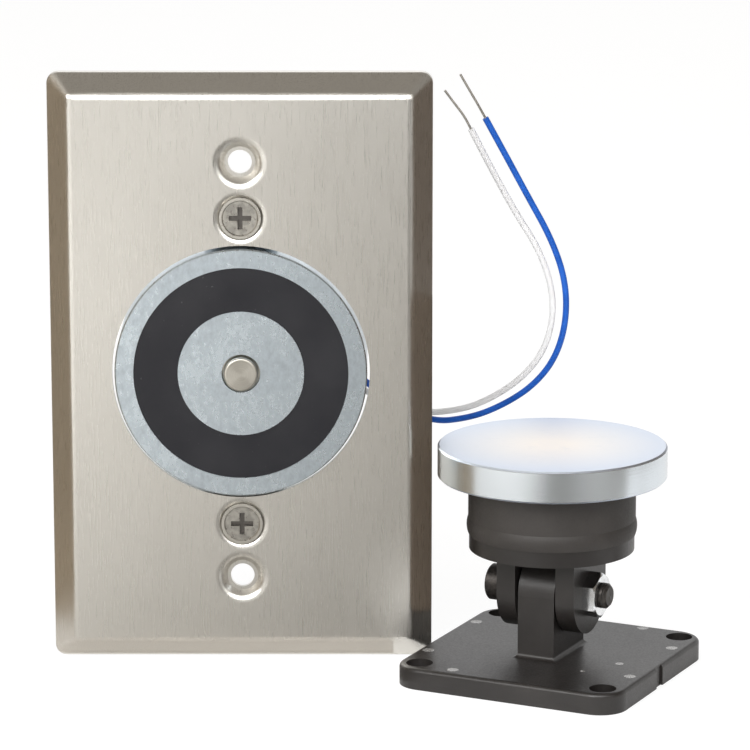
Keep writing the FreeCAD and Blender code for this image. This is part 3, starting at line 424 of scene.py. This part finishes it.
def screw_nickel():
    """Plated plate screws: soft cast faces with painted shade, mottled in the hollow of each head and full in its
    cross recess; threaded behind.
    """
    m = Material("screw_nickel", (0.55, 0.53, 0.48), metallic=1.0, roughness=0.3)
    x, y, z = m.apart(m.place)
    on_shank = m.math("GREATER_THAN", y, 0.0)
    on_head = m.math("SUBTRACT", 1.0, on_shank)
    grain = m.noise(m.place, scale=1500.0)
    patch = m.spread(m.noise(m.place, scale=900.0, detail=2.0), (0.4, 0.6), (0.4, 1.0))
    # Painted shade: mottled patches darken the hollow of each head, and its cross recess turns fully dark
    dish_shade = m.math("MULTIPLY", m.spread(y, PLATE_SCREW_DISH_SHADE, (0.0, 0.75)), patch)
    low = m.math("MAXIMUM", dish_shade, m.spread(y, PLATE_SCREW_RECESS_SHADE, (0.0, 1.0)))
    tone = m.mix(m.math("MULTIPLY", low, on_head), (0.58, 0.56, 0.51), (0.16, 0.15, 0.14))
    rough = m.spread(grain, (0.3, 0.7), (0.24, 0.4))
    rise = m.math("SUBTRACT", m.math("ABSOLUTE", z), PLATE_SCREW_Z)
    thread = m.math("MULTIPLY", m.thread(x, rise, y, PLATE_SCREW_PITCH), on_shank)
    height = m.math("ADD", thread, m.math("MULTIPLY", grain, 0.05))
    normal = m.bump(height, distance=0.0004, strength=0.8)
    return m.finish(tone, rough, normal)


def bright_nut():
    """The pivot's nut: bright plating, a little worn."""
    m = Material("bright_zinc", (0.84, 0.85, 0.86), metallic=1.0, roughness=0.14)
    wear = m.noise(m.place, scale=700.0, detail=4.0)
    tone = m.blend(wear, (0.4, 0.7), (0.86, 0.87, 0.88), (0.66, 0.68, 0.70), most=0.6)
    rough = m.spread(wear, (0.3, 0.7), (0.1, 0.24))
    normal = m.bump(wear, distance=0.00003, strength=0.3)
    return m.finish(tone, rough, normal)


def black_bolt():
    """Black oxide cap screw, threaded beyond its nut."""
    m = Material("black_steel", (0.05, 0.045, 0.042), metallic=0.7, roughness=0.42)
    x, y, z = m.apart(m.moved(PIVOT, UNIT_TURN))
    grain = m.noise(m.place, scale=1800.0)
    tone = m.blend(grain, (0.35, 0.65), (0.035, 0.032, 0.03), (0.07, 0.062, 0.056))
    rough = m.spread(grain, (0.3, 0.7), (0.34, 0.5))
    beyond_nut = m.math("GREATER_THAN", x, PIVOT_THREAD_START)
    thread = m.math("MULTIPLY", m.thread(y, z, x, PIVOT_PITCH), beyond_nut)
    height = m.math("ADD", thread, m.math("MULTIPLY", grain, 0.06))
    normal = m.bump(height, distance=0.0004, strength=0.8)
    return m.finish(tone, rough, normal)


def resin():
    """Cast black resin: nearly flat, with a few specks and a faint skin."""
    m = Material("black_resin", (0.014, 0.014, 0.017), metallic=0.0, roughness=0.45, specular=0.25)
    skin = m.noise(m.place, scale=90.0, detail=4.0)
    speck = m.noise(m.place, scale=1300.0, detail=2.0)
    tone = m.blend(skin, (0.3, 0.7), (0.012, 0.012, 0.015), (0.02, 0.02, 0.023))
    tone = m.blend(speck, (0.72, 0.8), tone, (0.12, 0.12, 0.125), most=0.5)
    rough = m.spread(speck, (0.3, 0.7), (0.36, 0.5))
    normal = m.bump(skin, distance=0.0002, strength=0.12)
    normal = m.bump(speck, distance=0.00003, strength=0.2, normal=normal)
    return m.finish(tone, rough, normal)


def moulding(name, color, light, roughness, specular=0.5):
    """Fine-grained plastic or rubber with slightly worn places."""
    m = Material(name, color, metallic=0.0, roughness=roughness, specular=specular)
    grain = m.noise(m.place, scale=2600.0, roughness=0.6)
    worn = m.noise(m.place, scale=75.0, detail=5.0, roughness=0.6)
    tone = m.blend(worn, (0.4, 0.7), color, light)
    rough = m.spread(grain, (0.3, 0.7), (roughness - 0.06, roughness + 0.08))
    normal = m.bump(worn, distance=0.0002, strength=0.15)
    normal = m.bump(grain, distance=0.00004, strength=0.35, normal=normal)
    return m.finish(tone, rough, normal)


def insulation(name, color, shade):
    """The leads' smooth sleeve, faintly streaked."""
    m = Material(name, color, metallic=0.0, roughness=0.36, specular=0.3)
    streak = m.noise(m.place, scale=300.0, detail=1.0)
    tone = m.blend(streak, (0.35, 0.65), color, shade)
    rough = m.spread(streak, (0.3, 0.7), (0.34, 0.42))
    normal = m.bump(streak, distance=0.00001, strength=0.05)
    return m.finish(tone, rough, normal)


def wire_metal(name, color, dark, roughness):
    """Drawn wire and bright turned steel."""
    m = Material(name, color, metallic=1.0, roughness=roughness)
    drawn = m.noise(m.place, scale=2200.0)
    tone = m.blend(drawn, (0.35, 0.65), color, dark)
    rough = m.spread(drawn, (0.3, 0.7), (roughness - 0.05, roughness + 0.1))
    normal = m.bump(drawn, distance=0.00002, strength=0.4)
    return m.finish(tone, rough, normal)


def winding():
    """Enamelled wire, laid in turns along the magnet's axis, with painted shade in the grooves between the turns.
    """
    m = Material("copper", (0.55, 0.27, 0.14), metallic=0.6, roughness=0.35)
    along = m.apart(m.place)[Y_AXIS]
    turn = m.math("PINGPONG", m.math("DIVIDE", along, WINDING_PITCH), 0.5)
    # Painted shade: the colour is darkest in the grooves between the turns
    tone = m.mix(turn, (0.20, 0.08, 0.04), (0.62, 0.30, 0.14))
    normal = m.bump(turn, distance=0.0001, strength=0.8)
    return m.finish(tone, normal=normal)


def shiny_mark():
    """The pressed-smooth spots that ejector pins leave, painted grey as a sheen on the black moulding."""
    m = Material("ejector_mark", (0.20, 0.195, 0.19), metallic=0.0, roughness=0.15, specular=0.9)
    grain = m.noise(m.place, scale=1600.0)
    # Painted sheen: the marks' grey, far paler than the black moulding, stands in for their gloss
    tone = m.blend(grain, (0.3, 0.7), (0.17, 0.165, 0.16), (0.30, 0.295, 0.285))
    rough = m.spread(grain, (0.3, 0.7), (0.16, 0.3))
    normal = m.bump(grain, distance=0.00003, strength=0.4)
    return m.finish(tone, rough, normal)


def dress(node, material):
    """Gives a carried-over node its finished material."""
    mesh = nodes[node].data
    if not mesh.materials:
        mesh.materials.append(material)
    for i in range(len(mesh.materials)):
        mesh.materials[i] = material


def dress_all():
    """Dresses every carried-over node but the leads' sleeves, which have pieces of their own."""
    pole_zinc = zinc("plated_steel", (0.63, 0.705, 0.76), dark=(0.40, 0.45, 0.49))
    dull_zinc = zinc("galvanised", (0.55, 0.57, 0.58), dark=(0.40, 0.42, 0.44))
    rubber = moulding("black_rubber", (0.027, 0.0235, 0.021), (0.040, 0.035, 0.0315),
                      roughness=0.56)
    plastic = moulding("black_moulding", (0.015, 0.013, 0.012), (0.025, 0.022, 0.0205),
                       roughness=0.37, specular=0.55)
    nylon = moulding("natural_nylon", (0.75, 0.73, 0.66), (0.66, 0.64, 0.57), roughness=0.45)
    steel_wire = wire_metal("spring_steel", (0.42, 0.42, 0.42), (0.30, 0.30, 0.30), roughness=0.3)
    tinned = wire_metal("tinned_wire", (0.62, 0.59, 0.54), (0.42, 0.395, 0.36), roughness=0.34)
    finishes = {
        "wall_plate": stainless(),
        "magnet_housing": pole_zinc,
        "pole_core": pole_zinc,
        "coil_bobbin": nylon,
        "coil_winding": winding(),
        "face_potting": resin(),
        "release_plunger": turned_nickel(),
        "plunger_spring": steel_wire,
        "plunger_retainer": steel_wire,
        "mounting_bracket": dull_zinc,
        "bracket_screws": screw_nickel(),
        "core_nut": dull_zinc,
        "lock_washer": dull_zinc,
        "lead_grommet": rubber,
        "lead_blue_end": tinned,
        "lead_white_end": tinned,
        "base_plate": plastic,
        "clevis": plastic,
        "cushion_collar": rubber,
        "collar_sleeve": dull_zinc,
        "armature_disc": ground_zinc(),
        "disc_screw": dull_zinc,
        "pivot_bolt": black_bolt(),
        "pivot_nut": bright_nut(),
    }
    for node, material in finishes.items():
        dress(node, material)


# Leads
def lead(name, node, route, material):
    """A lead as one smooth curve, drawn by its route's control points."""
    curve = bpy.data.curves.new(name, "CURVE")
    curve.dimensions = "3D"
    curve.bevel_depth = LEAD_DIAMETER / 2
    curve.bevel_resolution = 6
    curve.resolution_u = 16
    curve.use_fill_caps = True
    spline = curve.splines.new("NURBS")
    spline.points.add(len(route) - 1)
    for point, place in zip(spline.points, route):
        point.co = (*(c * MM for c in place), 1.0)
    spline.order_u = 3
    spline.use_endpoint_u = True
    curve.materials.append(material)
    piece = add_object(name, curve)
    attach(piece, "root")
    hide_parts(node)
    return piece


def make_leads():
    """Both leads, each on its own route."""
    blue = insulation("blue_insulation", (0.008, 0.085, 0.42), (0.012, 0.11, 0.52))
    white = insulation("white_insulation", (0.76, 0.76, 0.77), (0.74, 0.74, 0.75))
    blue_lead = lead("blue_lead", "lead_blue", BLUE_ROUTE, blue)
    white_lead = lead("white_lead", "lead_white", WHITE_ROUTE,
                      white)


# Small details
def circle(count):
    """Evenly spaced angles once round."""
    return [FULL_TURN * i / count for i in range(count)]


def skin(bm, rings):
    """Smooth faces from each ring of vertices to the next."""
    count = len(rings[0])
    for before, after in zip(rings, rings[1:]):
        for i in range(count):
            j = (i + 1) % count
            bm.faces.new((before[i], before[j], after[j], after[i])).smooth = True


def mesh_piece(name, bm, material):
    """A new object of the scene from a finished bmesh."""
    mesh = bpy.data.meshes.new(name)
    bm.to_mesh(mesh)
    bm.free()
    mesh.materials.append(material)
    return add_object(name, mesh)


def plunger_spring():
    """Round-wire spring behind the button."""
    low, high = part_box("plunger_spring")
    wire = SPRING_WIRE_RADIUS
    coil = (high[0] - low[0]) / 2 - wire
    front = low[1] + wire
    back = high[1] - wire
    steps = SPRING_TURNS * SPRING_STEPS
    bm = bmesh.new()
    rings = []
    for i in range(steps + 1):
        angle = FULL_TURN * i / SPRING_STEPS
        outward = Vector((math.cos(angle), 0.0, math.sin(angle)))
        middle = outward * coil + Vector((0.0, front + (back - front) * i / steps, 0.0))
        ring = []
        for around in circle(SPRING_SIDES):
            aside = Vector((0, wire * math.sin(around), 0))
            point = middle + outward * wire * math.cos(around) + aside
            ring.append(bm.verts.new(point))
        rings.append(ring)
    skin(bm, rings)
    bm.faces.new(reversed(rings[0]))
    bm.faces.new(rings[-1])
    bmesh.ops.recalc_face_normals(bm, faces=bm.faces)
    piece = mesh_piece("button_spring", bm, nodes["plunger_spring"].data.materials[0])
    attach(piece, "root")
    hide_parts("plunger_spring")
    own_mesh(piece)


def in_unit(x, y, z):
    """A point of the armature unit, from the middle of its base's underside, in the row frame."""
    c, s = math.cos(UNIT_TURN), math.sin(UNIT_TURN)
    return Vector(UNIT) + Vector((x * c + y * s, -x * s + y * c, z))


def ejector_mark(name, x, y, radius, material):
    """A low round spot with a soft rim on the base's top."""
    bm = bmesh.new()
    rings = []
    for share, height in MARK_SECTION:
        r = radius * share
        ring = []
        for angle in circle(MARK_SIDES):
            point = in_unit(x + r * math.cos(angle), y + r * math.sin(angle), BASE_TOP + height)
            ring.append(bm.verts.new(point))
        rings.append(ring)
    skin(bm, rings)
    bm.faces.new(rings[-1]).smooth = True
    piece = mesh_piece(name, bm, material)
    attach(piece, "root")


def make_ejector_marks():
    """The marks that the pins of the mould left on the base."""
    material = shiny_mark()
    for index, (x, y, radius) in enumerate(EJECTOR_MARKS, start=1):
        ejector_mark(f"ejector_mark_{index}", x * MM, y * MM, radius * MM, material)


# Floor, cards, world and lamps
def make_floor():
    """Pale floor that looks white to the camera and keeps a soft shadow."""
    bpy.ops.mesh.primitive_plane_add(size=FLOOR_SIZE, location=(0.0, 0.0, FLOOR_Z - FLOOR_DROP))
    floor = bpy.context.object
    floor.name = "floor"
    m = Material("floor", (0.93, 0.93, 0.93), metallic=0.0, roughness=0.7)
    paper = m.noise(m.place, scale=60.0)
    m.finish(m.mix(paper, (0.95, 0.95, 0.95), (0.91, 0.91, 0.91)))
    glow = m.add("ShaderNodeEmission")
    m.set(glow, "Color", rgba(WHITE))
    m.set(glow, "Strength", FLOOR_GLOW)
    rays = m.add("ShaderNodeLightPath")
    shown = m.math("MULTIPLY", rays.outputs["Is Camera Ray"], FLOOR_GLOW_SEEN)
    mirrored = m.math("MULTIPLY", rays.outputs["Is Glossy Ray"], FLOOR_GLOW_MIRRORED)
    blend = m.add("ShaderNodeMixShader")
    m.set(blend, 0, m.math("ADD", shown, mirrored, clamp=True))
    m.link(m.shader.outputs[0], blend.inputs[1])
    m.link(glow.outputs[0], blend.inputs[2])
    m.link(blend.outputs[0], m.tree.nodes["Material Output"].inputs["Surface"])
    floor.data.materials.append(m.material)


def card(name, corners, paint):
    """A card seen only in reflections."""
    mesh = bpy.data.meshes.new(name)
    mesh.from_pydata(corners, [], [tuple(range(len(corners)))])
    mesh.materials.append(paint)
    piece = add_object(name, mesh)
    piece.visible_camera = False
    piece.visible_shadow = False
    piece.visible_diffuse = False


def felt(name, color):
    """The matt, slightly uneven paint of a dark card."""
    m = Material(name, color, metallic=0.0, roughness=0.8)
    uneven = m.noise(m.place, scale=60.0, detail=2.0)
    return m.finish(m.mix(uneven, color, tuple(c * FELT_PALER for c in color)))


def rectangle(axis, place, low, high):
    """Corners of a card that faces an axis at a place on it, from two opposite corners."""
    flat = [low, (high[0], low[1]), high, (low[0], high[1])]
    return [corner[:axis] + (place,) + corner[axis:] for corner in flat]


def floor_card():
    """A floor card, dark at the right and pale at the left, greyer near the plate, even under it."""
    m = Material("floor_card", (0.5, 0.5, 0.5), metallic=0.0, roughness=0.8)
    x, y = m.apart(m.place)[:2]
    dark = m.math("SUBTRACT", m.spread(x, DARKENS_X, (0.0, 1.0)), m.spread(x, PALES_X, (0.0, 0.5)))
    shade = m.mix(dark, (0.97, 0.96, 0.94), (0.085, 0.082, 0.076))
    grey = m.math("MULTIPLY", m.spread(y, GREY_Y, (0.56, 0.0)), m.spread(x, GREY_X, (0.0, 1.0)))
    shade = m.mix(grey, shade, (0.25, 0.24, 0.225))
    paint = m.finish(m.blend(y, UNDER_PLATE_Y, shade, (0.66, 0.64, 0.62)))
    card("floor_card", [(*corner, CARD_Z) for corner in FLOOR_CARD_OUTLINE], paint)


def make_cards():
    """Cards that the plate's sloping edges, the front faces and the disc's rim mirror."""
    for name, axis, place, low, high, color in CARDS:
        card(name, rectangle(axis, place, low, high), felt(name, color))
    floor_card()


def make_world():
    """White to the camera and behind the object, dimmer at its sides, brighter in front."""
    world = bpy.data.worlds.new("studio")
    scene.world = world
    world.use_nodes = True
    world.node_tree.nodes.clear()
    m = Nodes(world.node_tree)
    x, y = m.apart(m.add("ShaderNodeTexCoord").outputs["Generated"])[:2]
    room = m.blend(x, (0.2, -0.6), (0.19, 0.17, 0.145), (0.32, 0.285, 0.24))
    room = m.blend(y, (-0.45, -0.9), room, (0.95, 0.94, 0.93), most=0.4)
    room = m.blend(y, (0.05, 0.45), room, WHITE)
    rays = m.add("ShaderNodeLightPath")
    background = m.add("ShaderNodeBackground")
    m.set(background, "Color", m.mix(rays.outputs["Is Camera Ray"], room, WHITE))
    m.set(background, "Strength", 1.0)
    output = m.add("ShaderNodeOutputWorld")
    m.link(background.outputs[0], output.inputs["Surface"])


def make_lamps():
    """Area lamps that the camera itself doesn't see."""
    for name, place, aim, size, power in LAMPS:
        data = bpy.data.lights.new(name, "AREA")
        data.shape = "RECTANGLE"
        data.size, data.size_y = size
        data.energy = power
        light = add_object(name, data)
        light.location = place
        point_along(light, Vector(aim) - Vector(place))
        light.visible_camera = False


make_camera()
make_leads()
dress_all()
plunger_spring()
make_ejector_marks()
make_floor()
make_cards()
make_world()
make_lamps()
scene.view_settings.view_transform = "Standard"
